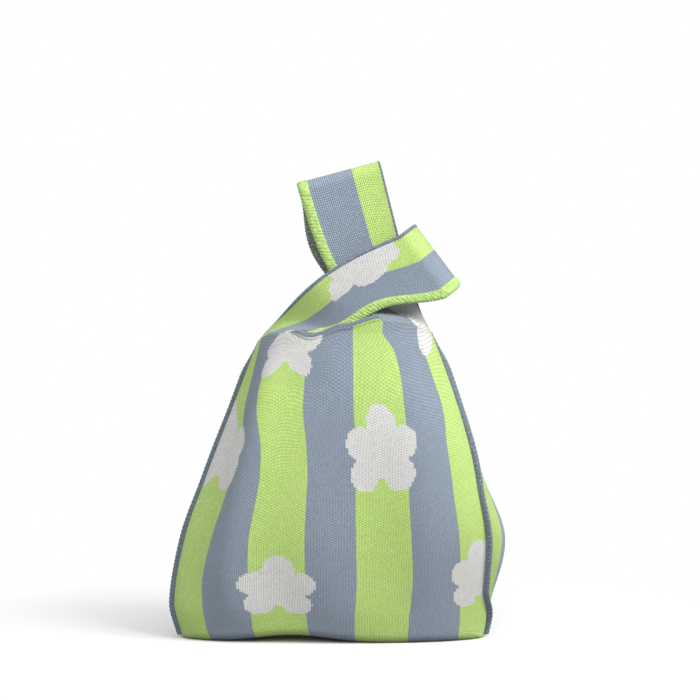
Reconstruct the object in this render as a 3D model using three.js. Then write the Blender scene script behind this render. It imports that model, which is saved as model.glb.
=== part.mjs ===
// A knitted knot bag: a two-panel knit pouch whose left strap loops round its right strap.
// The right strap is the wrist loop. The left strap is the keeper that draws the mouth shut.
// Millimetres, +Z up, the front of the bag faces -Y, the origin is under the middle of the bag.
import * as THREE from "three";

// Knit and joins
const KNIT = 3; // thickness of the double knit
const GAP = 0.3; // clearance between pieces that are linked together
const EDGE_GAP = 0.4; // clearance between a strap's knit and its edges
const ROOT_GAP = 0.85; // clearance at both ends of a strap's bending root
const SEAM_WIDTH = 3.6; // width of the linked side seam
const SEAM_PROUD = 3.2; // how far the side seam stands out of the panels
const HEM_DIAMETER = 4; // rolled edge of the mouth
const EDGE_WIDTH = 8; // chunky edge on the mouth side of each strap
const EDGE_THICKNESS = 5;
const BINDING_WIDTH = 3; // thin edge on the outer side of each strap
const BINDING_THICKNESS = 3.6;

// The pouch, as half sizes at six heights. Squareness 2 is an ellipse, and turn is in degrees.
const FOOT = { height: 0, left: 103, right: 98, depth: 27, square: 2.4, turn: 0 };
const HIP = { height: 24, left: 108.5, right: 103, depth: 34, square: 2.4, turn: 0 };
const BELLY = { height: 68, left: 101, right: 112, depth: 43, square: 2.5, turn: -1 };
const WAIST = { height: 105, left: 88, right: 100, depth: 46, square: 2.7, turn: -3 };
const CHEST = { height: 155, left: 69, right: 82, depth: 46, square: 2.9, turn: -5 };
const MOUTH = { height: 204, left: 49.5, right: 63, depth: 39.5, square: 3.2, turn: 0 };
const STATIONS = [FOOT, HIP, BELLY, WAIST, CHEST, MOUTH];
// The right seam lies this many degrees towards the front, most of all at the belly.
const SEAM_SWING = 30;
const SEAM_SWING_REACH = 70;

// The rim: heights of the mouth and of the strap roots, and the share of a panel that each strap takes
const KEEPER_SHARE = 0.267;
const WRIST_SHARE = 0.345;
const HEM_SETBACK = 0.035; // share of the panel left free between a strap and the hem
const RIM_LEFT_SEAM = 198;
const RIM_LEFT_CORNER = 204.5;
const RIM_MIDDLE = 203;
const RIM_RIGHT_CORNER = 212;
const RIM_RIGHT_SEAM = 204;

// The keeper, a strap from the left side that lies over to the right
const KEEPER = {
  reach: 119.8, // straight length from the root to the fold, in the front view
  lean: 25.3, // degrees above the horizontal
  width: 51, // at the fold
  foldTilt: 37, // direction that the fold faces, in degrees above the horizontal
  halfDepth: 25.5, // from the middle plane to the strap
  foldLength: 13, // how far the fold stands past the flat stretch
  outerBow: 9.5, // how far the outer edge bows out
  innerBow: 3, // how far the mouth edge bows out
  innerSway: 7, // how far the mouth edge dips near the root and rises near the fold
  swaySkew: 0.87, // below 1 the dip lies nearer to the root
  bowSkew: 1, // below 1 the bows lie nearer to the root
  innerSettle: 0.24, // share of the run in which the mouth edge comes in from the rim
  backDrop: 1, // how much lower the back run hangs near the fold
  outerSide: 1, // the outer edge lies to the left of the run
};

// The wrist loop, a strap from the right side that stands up through the keeper
const WRIST = {
  reach: 110,
  lean: 114,
  width: 57,
  foldTilt: 105,
  halfDepth: 7.5,
  foldLength: 6,
  outerBow: -2,
  innerBow: 12,
  innerSway: 0,
  swaySkew: 1,
  bowSkew: 0.7,
  innerSettle: 0.106,
  backDrop: 5,
  outerSide: -1,
};
const ROOT_SHARE = 0.24; // the part of each run that bends at its root

// Facets
const PANEL_STEPS = 24;
const WALL_STEPS = 14;
const BASE_STEPS = 3;
const SECTION_STEPS = 96;
const BAND_STEPS = 4;
const RUN_STEPS = 14;
const FOLD_STEPS = 8;
const EDGE_SIDES = 8;
const HEM_STEPS = 18;

// Finishes
const slateKnit = new THREE.MeshStandardMaterial({ color: 0x8d99ab, roughness: 0.95 });
const limeKnit = new THREE.MeshStandardMaterial({ color: 0xb5dd66, roughness: 0.95 });
const slateSeam = new THREE.MeshStandardMaterial({ color: 0x77828f, roughness: 0.95 });

const radians = THREE.MathUtils.degToRad;
const lerp = THREE.MathUtils.lerp;
const vec = (x, y, z) => new THREE.Vector3(x, y, z);
const FRONT = -1;
const BACK = 1;
const LEFT = -1;
const RIGHT = 1;

// A closed solid through rows of point pairs: the outer points, then the inner ones, and both ends capped.
function skin(rows) {
  const across = rows[0].outer.length;
  const ring = 2 * across;
  const positions = [];
  const index = [];
  for (const row of rows) {
    for (const p of [...row.outer, ...[...row.inner].reverse()]) positions.push(p.x, p.y, p.z);
  }
  const quad = (a, b, c, d) => index.push(a, b, c, a, c, d);
  for (let r = 0; r + 1 < rows.length; r++) {
    for (let i = 0; i < ring; i++) {
      const j = (i + 1) % ring;
      quad(r * ring + i, r * ring + j, (r + 1) * ring + j, (r + 1) * ring + i);
    }
  }
  const last = (rows.length - 1) * ring;
  for (let i = 0; i + 1 < across; i++) {
    quad(i + 1, i, ring - 1 - i, ring - 2 - i);
    quad(last + i, last + i + 1, last + ring - 2 - i, last + ring - 1 - i);
  }
  const geometry = new THREE.BufferGeometry();
  geometry.setAttribute("position", new THREE.Float32BufferAttribute(positions, 3));
  geometry.setIndex(signedVolume(positions, index) < 0 ? index.reverse() : index);
  geometry.computeVertexNormals();
  return geometry;
}

// Six times the volume inside the triangles, negative where they face inwards.
function signedVolume(positions, index) {
  const corner = (i) => new THREE.Vector3().fromArray(positions, 3 * index[i]);
  let sum = 0;
  for (let i = 0; i < index.length; i += 3) {
    sum += corner(i).dot(corner(i + 1).cross(corner(i + 2)));
  }
  return sum;
}

function piece(name, geometry, material) {
  const mesh = new THREE.Mesh(geometry, material);
  mesh.name = name;
  return mesh;
}

// A value of the pouch at a height, on a smooth line through its stations.
function stationValue(key, height) {
  const points = STATIONS.map((s) => s.height);
  const top = points.length - 1;
  const z = THREE.MathUtils.clamp(height, points[0], points[top]);
  let k = 0;
  while (k < top - 1 && z > points[k + 1]) k++;
  const slope = (i) => {
    const a = Math.max(i - 1, 0);
    const b = Math.min(i + 1, top);
    return (STATIONS[b][key] - STATIONS[a][key]) / (points[b] - points[a]);
  };
  const span = points[k + 1] - points[k];
  const t = (z - points[k]) / span;
  const rise = t * t * (3 - 2 * t);
  const first = t * (1 - t) * (1 - t) * span * slope(k);
  const second = t * t * (t - 1) * span * slope(k + 1);
  return lerp(STATIONS[k][key], STATIONS[k + 1][key], rise) + first + second;
}

// A point on the pouch's section at a height and an angle, pushed in from the outside by an inset.
function sectionPoint(height, angle, inset) {
  const power = 2 / stationValue("square", height);
  const c = Math.cos(angle);
  const s = Math.sin(angle);
  const halfWidth = stationValue(c < 0 ? "left" : "right", height) - inset;
  const halfDepth = stationValue("depth", height) - inset;
  const x = halfWidth * Math.sign(c) * Math.abs(c) ** power;
  const y = halfDepth * Math.sign(s) * Math.abs(s) ** power;
  return vec(x, y, height).applyAxisAngle(vec(0, 0, 1), radians(stationValue("turn", height)));
}

// How far the right seam is turned towards the front at a height, as an angle on the section.
function seamSwing(height) {
  const away = (height - BELLY.height) / SEAM_SWING_REACH;
  const lifted = THREE.MathUtils.smoothstep(height, FOOT.height, BELLY.height / 2);
  return radians(SEAM_SWING) * lifted * Math.exp(-away * away);
}

// The angle on the section at a share of one panel's width, from the left seam to the right one.
function panelAngle(face, share, height, margin) {
  const start = -Math.PI;
  const end = -seamSwing(height);
  const from = face === FRONT ? start : Math.PI;
  const to = end;
  const angles = [];
  const lengths = [];
  let length = 0;
  let before = null;
  for (let i = 0; i <= SECTION_STEPS; i++) {
    const angle = lerp(from, to, i / SECTION_STEPS);
    const at = sectionPoint(height, angle, 0);
    if (before) length += at.distanceTo(before);
    before = at;
    angles.push(angle);
    lengths.push(length);
  }
  const wanted = lerp(margin, length - margin, share);
  let k = 0;
  while (k < SECTION_STEPS - 1 && lengths[k + 1] < wanted) k++;
  return lerp(angles[k], angles[k + 1], (wanted - lengths[k]) / (lengths[k + 1] - lengths[k]));
}

// The height of the rim at a share of a panel's width.
function rimHeight(share) {
  const knots = [0, KEEPER_SHARE, 0.5, 1 - WRIST_SHARE, 1];
  const heights = [RIM_LEFT_SEAM, RIM_LEFT_CORNER, RIM_MIDDLE, RIM_RIGHT_CORNER, RIM_RIGHT_SEAM];
  let k = 0;
  while (k < knots.length - 2 && share > knots[k + 1]) k++;
  const t = (share - knots[k]) / (knots[k + 1] - knots[k]);
  return lerp(heights[k], heights[k + 1], t * t * (3 - 2 * t));
}

const PANEL_MARGIN = SEAM_WIDTH / 2 + GAP;

// A point of a panel: a share of its width, a height, and how far inside the outer surface.
function panelPoint(face, share, height, inset) {
  const angle = panelAngle(face, share, height, PANEL_MARGIN);
  return sectionPoint(height, angle, inset);
}

// The outer and inner point of a panel's wall at a share of its width and a share of its height.
function wallPair(face, share, rise) {
  const height = lerp(FOOT.height, rimHeight(share), rise);
  const inner = panelPoint(face, share, height, KNIT);
  inner.setZ(lerp(FOOT.height + KNIT, rimHeight(share), rise));
  return { outer: panelPoint(face, share, height, 0), inner };
}

// A panel runs from the middle of the base, forward or back along the floor, and up to the rim.
function panel(face) {
  const rows = [];
  const shares = Array.from({ length: PANEL_STEPS + 1 }, (_, i) => i / PANEL_STEPS);
  const basePoint = (share, k, inset) => {
    const p = panelPoint(face, share, FOOT.height, inset);
    return vec(p.x, lerp((face * GAP) / 2, p.y, k), FOOT.height + inset);
  };
  for (let b = 0; b < BASE_STEPS; b++) {
    const k = b / BASE_STEPS;
    rows.push({
      outer: shares.map((s) => basePoint(s, k, 0)),
      inner: shares.map((s) => basePoint(s, k, KNIT)),
    });
  }
  for (let w = 0; w <= WALL_STEPS; w++) {
    const pairs = shares.map((s) => wallPair(face, s, w / WALL_STEPS));
    rows.push({ outer: pairs.map((p) => p.outer), inner: pairs.map((p) => p.inner) });
  }
  return skin(rows);
}

// A side seam fills the channel between the panels and stands a little proud of them.
function sideSeam(side) {
  const share = side === LEFT ? 0 : 1;
  const rimAt = rimHeight(share);
  const rows = [];
  for (let w = 0; w <= WALL_STEPS; w++) {
    const rise = w === 0 ? (2 * (KNIT + GAP)) / rimAt : w / WALL_STEPS;
    const front = seamWall(FRONT, share, rise);
    const back = seamWall(BACK, share, rise);
    const along = back.outer.clone().sub(front.outer).normalize();
    const outwards = vec(along.y, -along.x, 0);
    if (outwards.x * side < 0) outwards.negate();
    const shift = (p, a, o) => p.clone().addScaledVector(along, a).addScaledVector(outwards, o);
    const inset = GAP + SEAM_WIDTH / 4;
    rows.push({
      outer: [
        shift(front.outer, GAP, 0),
        shift(front.outer, inset, SEAM_PROUD),
        shift(back.outer, -inset, SEAM_PROUD),
        shift(back.outer, -GAP, 0),
      ],
      inner: [
        shift(front.inner, GAP, 0),
        shift(front.inner, inset, 0),
        shift(back.inner, -inset, 0),
        shift(back.inner, -GAP, 0),
      ],
    });
  }
  return skin(rows);
}

// A panel's side edge at a share of its height, on the straight line between the panel's own rows.
function seamWall(face, share, rise) {
  const step = Math.min(Math.floor(rise * WALL_STEPS), WALL_STEPS - 1);
  const low = wallPair(face, share, step / WALL_STEPS);
  const high = wallPair(face, share, (step + 1) / WALL_STEPS);
  const part = rise * WALL_STEPS - step;
  return { outer: low.outer.lerp(high.outer, part), inner: low.inner.lerp(high.inner, part) };
}

// A tube of an oval section along a line, given the section's two axes at each point.
function ovalTube(line, acrossAt, thicknessAt, width, thickness) {
  const half = EDGE_SIDES / 2;
  const rows = line.map((at, i) => {
    const point = (k) => {
      const angle = (2 * Math.PI * (k + 0.5)) / EDGE_SIDES;
      return at
        .clone()
        .addScaledVector(acrossAt[i], (Math.cos(angle) * width) / 2)
        .addScaledVector(thicknessAt[i], (Math.sin(angle) * thickness) / 2);
    };
    const points = Array.from({ length: EDGE_SIDES }, (_, k) => point(k));
    return { outer: points.slice(0, half), inner: points.slice(half).reverse() };
  });
  return skin(rows);
}

// The rolled hem along the mouth between the two straps.
function mouthHem(face) {
  const hemStart = KEEPER_SHARE + HEM_SETBACK;
  const hemEnd = 1 - WRIST_SHARE - HEM_SETBACK;
  const line = [];
  const across = [];
  const up = [];
  for (let i = 0; i <= HEM_STEPS; i++) {
    const share = lerp(hemStart, hemEnd, i / HEM_STEPS);
    const height = rimHeight(share);
    const outside = panelPoint(face, share, height, 0);
    const inside = panelPoint(face, share, height, KNIT);
    line.push(outside.clone().lerp(inside, 0.5).setZ(height + GAP + HEM_DIAMETER / 2));
    across.push(outside.clone().sub(inside).normalize());
    up.push(vec(0, 0, 1));
  }
  return ovalTube(line, across, up, HEM_DIAMETER, HEM_DIAMETER);
}

// The two edges of a strap's run, seen from the front: each is a bowed line from its root to the fold.
function strapPlan(strap, side) {
  const seamShare = side === LEFT ? 0 : 1;
  const cornerShare = side === LEFT ? KEEPER_SHARE : 1 - WRIST_SHARE;
  const rimPoint = (face, share) => {
    const height = rimHeight(share);
    return panelPoint(face, share, height, KNIT / 2).setZ(height + ROOT_GAP);
  };
  const rootShare = (t) => lerp(seamShare, cornerShare, t);
  const outerRoot = rimPoint(FRONT, seamShare);
  const innerRoot = rimPoint(FRONT, cornerShare);
  const rootMiddle = outerRoot.clone().lerp(innerRoot, 0.5);
  const lean = radians(strap.lean);
  const run = strap.reach - strap.foldLength;
  const foldMiddle = vec(rootMiddle.x + run * Math.cos(lean), 0, rootMiddle.z + run * Math.sin(lean));
  const tilt = radians(strap.foldTilt);
  const ahead = vec(Math.cos(tilt), 0, Math.sin(tilt));
  const sideways = vec(-ahead.z, 0, ahead.x).multiplyScalar(strap.outerSide);
  const outerEnd = foldMiddle.clone().addScaledVector(sideways, strap.width / 2);
  const innerEnd = foldMiddle.clone().addScaledVector(sideways, -strap.width / 2);
  return { rimPoint, rootShare, outerRoot, innerRoot, outerEnd, innerEnd, ahead, sideways };
}

// Rows of a strap's middle surface from its front root over the fold to its back root.
function strapRows(strap, side) {
  const plan = strapPlan(strap, side);
  const bowed = (from, to, bow, s) => {
    const p = from.clone().setY(0).lerp(to, s);
    return p.addScaledVector(plan.sideways, bow * Math.sin(Math.PI * s ** strap.bowSkew));
  };
  const depthAt = (face, s, t, settleShare) => {
    const root = plan.rimPoint(face, plan.rootShare(t)).y;
    return lerp(root, face * strap.halfDepth, THREE.MathUtils.smoothstep(s, 0, settleShare));
  };
  const runPoint = (face, s, t) => {
    const outer = bowed(plan.outerRoot, plan.outerEnd, strap.outerBow, s);
    const inner = bowed(plan.innerRoot, plan.innerEnd, -strap.innerBow, s);
    const turn = Math.PI * s ** strap.swaySkew;
    inner.addScaledVector(plan.sideways, -strap.innerSway * Math.sin(2 * turn) * Math.sin(turn));
    outer.y = depthAt(face, s, 0, 2 * ROOT_SHARE);
    inner.y = depthAt(face, s, 1, strap.innerSettle);
    if (face === BACK) {
      inner.addScaledVector(plan.sideways, -strap.backDrop * Math.sin(Math.PI * s ** 1.4) ** 2);
    }
    const rim = plan.rimPoint(face, plan.rootShare(t));
    const chord = plan.rimPoint(face, plan.rootShare(0)).lerp(plan.rimPoint(face, plan.rootShare(1)), t);
    const hold = (1 - THREE.MathUtils.smoothstep(s, 0, ROOT_SHARE)) ** 2;
    return outer.lerp(inner, t).addScaledVector(rim.sub(chord), hold);
  };
  const foldPoint = (angle, t) => {
    const p = plan.outerEnd.clone().lerp(plan.innerEnd, t);
    p.addScaledVector(plan.ahead, strap.foldLength * Math.cos(angle));
    return p.setY(strap.halfDepth * Math.sin(angle));
  };
  const rows = [];
  const run = (face, k) => rows.push({ share: k / RUN_STEPS, face, at: (t) => runPoint(face, k / RUN_STEPS, t) });
  for (let k = 0; k < RUN_STEPS; k++) run(FRONT, k);
  for (let k = 0; k <= FOLD_STEPS; k++) {
    const angle = lerp(-Math.PI / 2, Math.PI / 2, k / FOLD_STEPS);
    rows.push({ share: 1, face: 0, at: (t) => foldPoint(angle, t) });
  }
  for (let k = RUN_STEPS - 1; k >= 0; k--) run(BACK, k);
  return rows;
}

// The frame of a strap at each row: where its edges are, the way across it and the way out of it.
function strapFrames(strap, side) {
  const rows = strapRows(strap, side);
  return rows.map((row, i) => {
    const before = rows[Math.max(i - 1, 0)];
    const after = rows[Math.min(i + 1, rows.length - 1)];
    const outer = row.at(0);
    const inner = row.at(1);
    const across = inner.clone().sub(outer);
    const width = across.length();
    across.normalize();
    const upright = row.face === 0 ? 0 : 1 - THREE.MathUtils.smoothstep(row.share, 0, ROOT_SHARE / 2);
    const out = (t) => {
      const normal = after.at(t).sub(before.at(t)).normalize().cross(across).normalize();
      return normal.setZ(normal.z * (1 - upright)).normalize();
    };
    return { ...row, outer, inner, across, width, out };
  });
}

// Places across a strap, as shares of its width, from its binding to its mouth edge.
function bandPlaces(frame) {
  const from = (BINDING_WIDTH + EDGE_GAP) / frame.width;
  const to = 1 - (EDGE_WIDTH + EDGE_GAP) / frame.width;
  return Array.from({ length: BAND_STEPS + 1 }, (_, j) => lerp(from, to, j / BAND_STEPS));
}

// The flat knit of a strap over a stretch of its rows, either between its edges or over its full width.
function band(frames, fullWidth) {
  const rows = frames.map((f) => {
    const places = fullWidth ? [0, ...bandPlaces(f), 1] : bandPlaces(f);
    const points = (offset) => places.map((t) => f.at(t).addScaledVector(f.out(t), offset));
    return { outer: points(KNIT / 2), inner: points(-KNIT / 2) };
  });
  return skin(rows);
}

// An oval edge along one side of a strap, whose place 0 is the outer side and 1 the mouth side.
function strapEdge(frames, place, width, thickness) {
  const ends = frames.map((f) => {
    const inward = lerp(width, -width, place) / f.width;
    return { rim: f.at(place), inward: f.at(place + inward), out: f.out(place + inward / 2) };
  });
  const line = ends.map((e) => e.rim.clone().lerp(e.inward, 0.5));
  const across = ends.map((e) => e.inward.clone().sub(e.rim).normalize());
  return ovalTube(line, across, ends.map((e) => e.out), width, thickness);
}

// A strap is two bending roots, the band between them, its chunky mouth edge and its thin outer binding.
function strap(name, shape, side) {
  const frames = strapFrames(shape, side);
  const group = new THREE.Group();
  const rootRows = Math.ceil(ROOT_SHARE * RUN_STEPS);
  const loop = frames.slice(rootRows, frames.length - rootRows);
  const frontRoot = frames.slice(0, rootRows + 1);
  const backRoot = frames.slice(frames.length - rootRows - 1);
  const shorten = (rows, from, to) => rows.map((f, i) => (i === from ? between(f, rows[to]) : f));
  const end = rootRows;
  group.add(piece(`${name}_root_front`, band(shorten(frontRoot, end, end - 1), true), slateKnit));
  group.add(piece(`${name}_root_back`, band(shorten(backRoot, 0, 1), true), slateKnit));
  group.add(piece(`${name}_loop_band`, band(loop, false), slateKnit));
  group.add(
    piece(`${name}_loop_mouth_edge`, strapEdge(loop, 1, EDGE_WIDTH, EDGE_THICKNESS), limeKnit),
    piece(`${name}_loop_outer_binding`, strapEdge(loop, 0, BINDING_WIDTH, BINDING_THICKNESS), slateSeam),
  );
  return group;
}

// A row moved towards its neighbour by at least the clearance between a root and its loop.
function between(from, towards) {
  const nearest = Math.min(...[0, 0.5, 1].map((t) => from.at(t).distanceTo(towards.at(t))));
  return { ...from, at: (t) => from.at(t).lerp(towards.at(t), ROOT_GAP / nearest) };
}

const bag = new THREE.Group();
bag.add(piece("front_panel", panel(FRONT), limeKnit));
bag.add(piece("back_panel", panel(BACK), limeKnit));
bag.add(piece("left_side_seam", sideSeam(LEFT), slateSeam));
bag.add(piece("right_side_seam", sideSeam(RIGHT), slateSeam));
bag.add(piece("front_mouth_hem", mouthHem(FRONT), slateSeam));
bag.add(piece("back_mouth_hem", mouthHem(BACK), slateSeam));
bag.add(strap("keeper", KEEPER, LEFT));
bag.add(strap("wrist", WRIST, RIGHT));

export default bag;
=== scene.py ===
"""Dresses a knitted knot bag: a striped double-knit pouch closed by a keeper strap round a wrist loop.

Lengths in the classes are millimetres, and the meshes are metres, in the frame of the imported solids.
"""

import logging
import math
from collections.abc import Callable
from dataclasses import dataclass
from enum import Enum
from functools import partial

import bmesh
import bpy
import numpy as np
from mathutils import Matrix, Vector


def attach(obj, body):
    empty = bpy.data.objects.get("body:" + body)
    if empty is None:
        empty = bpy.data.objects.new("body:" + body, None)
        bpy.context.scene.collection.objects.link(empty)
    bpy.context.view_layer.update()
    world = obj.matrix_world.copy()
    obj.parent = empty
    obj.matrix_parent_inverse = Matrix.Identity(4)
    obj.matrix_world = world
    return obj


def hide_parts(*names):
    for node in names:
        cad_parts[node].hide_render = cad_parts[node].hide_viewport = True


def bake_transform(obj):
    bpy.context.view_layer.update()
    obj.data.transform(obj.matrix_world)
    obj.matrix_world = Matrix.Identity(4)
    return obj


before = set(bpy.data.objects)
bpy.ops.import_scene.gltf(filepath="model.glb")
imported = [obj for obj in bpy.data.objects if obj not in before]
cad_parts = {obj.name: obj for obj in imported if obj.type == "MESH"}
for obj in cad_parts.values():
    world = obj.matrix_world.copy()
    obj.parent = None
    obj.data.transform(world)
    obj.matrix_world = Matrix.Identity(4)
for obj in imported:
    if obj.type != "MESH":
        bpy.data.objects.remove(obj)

LOG = logging.getLogger("knot_bag")
MM = 0.001
UV_NAME = "knit"
UP = np.array([0.0, 0.0, 1.0])
# Vertices closer than this in metres are one, edges sharper than this in degrees stay crisp, and the
# way along a strap is read over this share of it.
MERGE = 1e-6
CREASE = 55
NEAR = 0.004
# How strongly a finish's relief turns the light, and how matt and fuzzy all the yarns are.
BUMP = 0.8
YARN = {"Roughness": 0.95, "Specular IOR Level": 0.15, "Sheen Weight": 0.2}

Node = bpy.types.Node
Tree = bpy.types.NodeTree
Points = np.ndarray
# Points in millimetres, and their places across and along the knit.
Patch = tuple[Points, Points, Points]
Surface = Callable[[Points, Points], Patch]
# Where something fades in: heights in millimetres, or shares of a panel's width.
Zone = tuple[float, float]


class Face(Enum):
    """The two panels of the pouch, and the two runs of a strap."""

    FRONT = -1
    BACK = 1


class Side(Enum):
    """The side of the pouch that a seam or a strap belongs to."""

    LEFT = -1
    RIGHT = 1


class Kind(Enum):
    """The shader nodes that the finishes are made of."""

    MATH = "ShaderNodeMath"
    MIX = "ShaderNodeMix"
    UV = "ShaderNodeUVMap"
    SPLIT = "ShaderNodeSeparateXYZ"
    JOIN = "ShaderNodeCombineXYZ"
    NOISE = "ShaderNodeTexNoise"
    WHITE_NOISE = "ShaderNodeTexWhiteNoise"
    BUMP = "ShaderNodeBump"
    SHADER = "ShaderNodeBsdfPrincipled"
    OUTPUT = "ShaderNodeOutputMaterial"
    COORDS = "ShaderNodeTexCoord"
    VECTOR = "ShaderNodeVectorMath"
    EMISSION = "ShaderNodeEmission"
    MIX_SHADER = "ShaderNodeMixShader"
    LIGHT_PATH = "ShaderNodeLightPath"
    BACKGROUND = "ShaderNodeBackground"
    WORLD_OUTPUT = "ShaderNodeOutputWorld"


def linear(hex_colour: str) -> tuple[float, float, float, float]:
    """Turns an sRGB colour of six hex digits to linear light, with an alpha of 1."""
    parts = [int(hex_colour[i : i + 2], 16) / 255 for i in (0, 2, 4)]
    rgb = [c / 12.92 if c <= 0.04045 else ((c + 0.055) / 1.055) ** 2.4 for c in parts]
    return rgb[0], rgb[1], rgb[2], 1.0


def smooth(low: float, high: float, value: Points | float) -> Points:
    """Rises smoothly from 0 at low to 1 at high."""
    t = np.clip((np.asarray(value, float) - low) / (high - low), 0, 1)
    return t * t * (3 - 2 * t)


def mix(a: Points | float, b: Points | float, t: Points | float) -> Points:
    """Goes from a to b as t goes from 0 to 1."""
    return np.asarray(a, float) + (np.asarray(b, float) - np.asarray(a, float)) * t


def curve(levels: Points, sizes: Points, where: Points) -> Points:
    """Reads a smooth curve through some sizes.

    Args:
        levels: where the sizes are given.
        sizes: the sizes.
        where: where to read the curve, which ends level past the first and last size.

    Returns:
        The curve at each place.
    """
    levels, sizes = np.array(levels, float), np.array(sizes, float)
    places = np.arange(len(levels))
    low, high = np.maximum(places - 1, 0), np.minimum(places + 1, len(levels) - 1)
    slopes = (sizes[high] - sizes[low]) / (levels[high] - levels[low])
    z = np.clip(where, levels[0], levels[-1])
    k = np.clip(np.searchsorted(levels, z) - 1, 0, len(levels) - 2)
    span = levels[k + 1] - levels[k]
    t = (z - levels[k]) / span
    bend = t * (1 - t) ** 2 * slopes[k] - t * t * (1 - t) * slopes[k + 1]
    return mix(sizes[k], sizes[k + 1], t * t * (3 - 2 * t)) + span * bend


def read_rows(knots: Points, values: Points, wanted: Points) -> Points:
    """Reads a line through some values at one place in each row.

    Args:
        knots: where the values are given, rising along the last axis.
        values: the values.
        wanted: one place for each row.

    Returns:
        The value at each place.
    """
    wanted = wanted[..., None]
    k = np.clip((knots < wanted).sum(-1, keepdims=True) - 1, 0, knots.shape[-1] - 2)
    low, high = (np.take_along_axis(knots, i, -1) for i in (k, k + 1))
    before, after = (np.take_along_axis(values, i, -1) for i in (k, k + 1))
    return mix(before, after, (wanted - low) / (high - low))[..., 0]


def unit(vectors: Points) -> Points:
    """Scales vectors to length 1."""
    return vectors / np.linalg.norm(vectors, axis=-1, keepdims=True)


def oval(
    line: Points, across: Points, out: Points, around: Points, width: Points, thickness: Points
) -> Points:
    """Finds points around a middle line, on an oval as wide across it and as thick outwards as given."""
    angle = 2 * np.pi * around
    aside = across * (np.cos(angle) * width / 2)[:, None]
    return line + aside + out * (np.sin(angle) * thickness / 2)[:, None]


def add_node(tree: Tree, kind: Kind, *inputs: object, **settings: object) -> Node:
    """Adds a shader node with its settings and links.

    Args:
        tree: the material's node tree.
        kind: what node to add.
        inputs: for each input in order a value, a node whose first output it takes, an output
            socket, or None to leave it as it is.
        settings: node properties by name.

    Returns:
        The new node.
    """
    node = tree.nodes.new(kind.value)
    for name, value in settings.items():
        setattr(node, name, value)
    sockets = [s for s in node.inputs if s.enabled]
    for socket, value in zip(sockets, inputs):
        if isinstance(value, Node):
            value = next(s for s in value.outputs if s.enabled)
        if isinstance(value, bpy.types.NodeSocket):
            tree.links.new(value, socket)
        elif value is not None:
            socket.default_value = value
    return node


def new_material(name: str) -> tuple[bpy.types.Material, Tree]:
    """Makes a material, and empties its node tree."""
    made = bpy.data.materials.new(name)
    made.use_nodes = True
    made.node_tree.nodes.clear()
    return made, made.node_tree


def finish_yarn(tree: Tree, colour: Node, bump: Node) -> None:
    """Ends a yarn's node tree with matt, slightly fuzzy fibres of a colour and a relief."""
    shader = add_node(tree, Kind.SHADER, colour)
    for name, value in YARN.items():
        shader.inputs[name].default_value = value
    tree.links.new(bump.outputs["Normal"], shader.inputs["Normal"])
    add_node(tree, Kind.OUTPUT, shader)


def finish_mesh(bm: bmesh.types.BMesh, name: str, outward: Vector) -> bpy.types.Object:
    """Turns the faces of a mesh outwards and makes an object of it.

    Args:
        bm: the mesh, which is used up.
        name: the piece's name.
        outward: the way that the first face has to point.

    Returns:
        The object, at the origin.
    """
    bmesh.ops.recalc_face_normals(bm, faces=bm.faces)
    bm.faces.ensure_lookup_table()
    if bm.faces[0].normal.dot(outward) < 0:
        bmesh.ops.reverse_faces(bm, faces=bm.faces)
    mesh = bpy.data.meshes.new(name)
    bm.to_mesh(mesh)
    bm.free()
    obj = bpy.data.objects.new(name, mesh)
    bpy.context.scene.collection.objects.link(obj)
    return obj


def make_piece(
    name: str, surface: Surface, columns: int, rows: int, tube: bool = False, two_halves: bool = False
) -> bpy.types.Object:
    """Makes one piece from a flat grid that is moved onto a surface.

    Args:
        name: the piece's name.
        surface: gives points and texture places in millimetres for two shares of the grid.
        columns: steps across the piece, or round a tube.
        rows: steps along it.
        tube: whether the two sides of the grid meet, as on a tube with closed ends.
        two_halves: whether the second half of the way round takes the second material.

    Returns:
        The object, its first face turned the way that the surface's two shares turn.
    """
    bm = bmesh.new()
    bmesh.ops.create_grid(bm, x_segments=columns, y_segments=rows, size=1.0)
    bm.verts.index_update()
    grid = np.array([v.co for v in bm.verts])
    points, u, v = surface((grid[:, 0] + 1) / 2, (grid[:, 1] + 1) / 2)
    layer = bm.loops.layers.uv.new(UV_NAME)
    for vert, point in zip(bm.verts, points * MM):
        vert.co = point
    half = grid[:, 0] > 0
    for face in bm.faces:
        face.smooth = True
        face.material_index = int(two_halves and all(half[v.index] for v in face.verts))
        for loop in face.loops:
            loop[layer].uv = (u[loop.vert.index] * MM, v[loop.vert.index] * MM)
    bm.normal_update()
    bm.faces.ensure_lookup_table()
    outward = bm.faces[0].normal.copy()
    bmesh.ops.remove_doubles(bm, verts=bm.verts, dist=MERGE)
    if tube:
        bmesh.ops.holes_fill(bm, edges=[e for e in bm.edges if e.is_boundary], sides=0)
    return finish_mesh(bm, name, outward)


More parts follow.
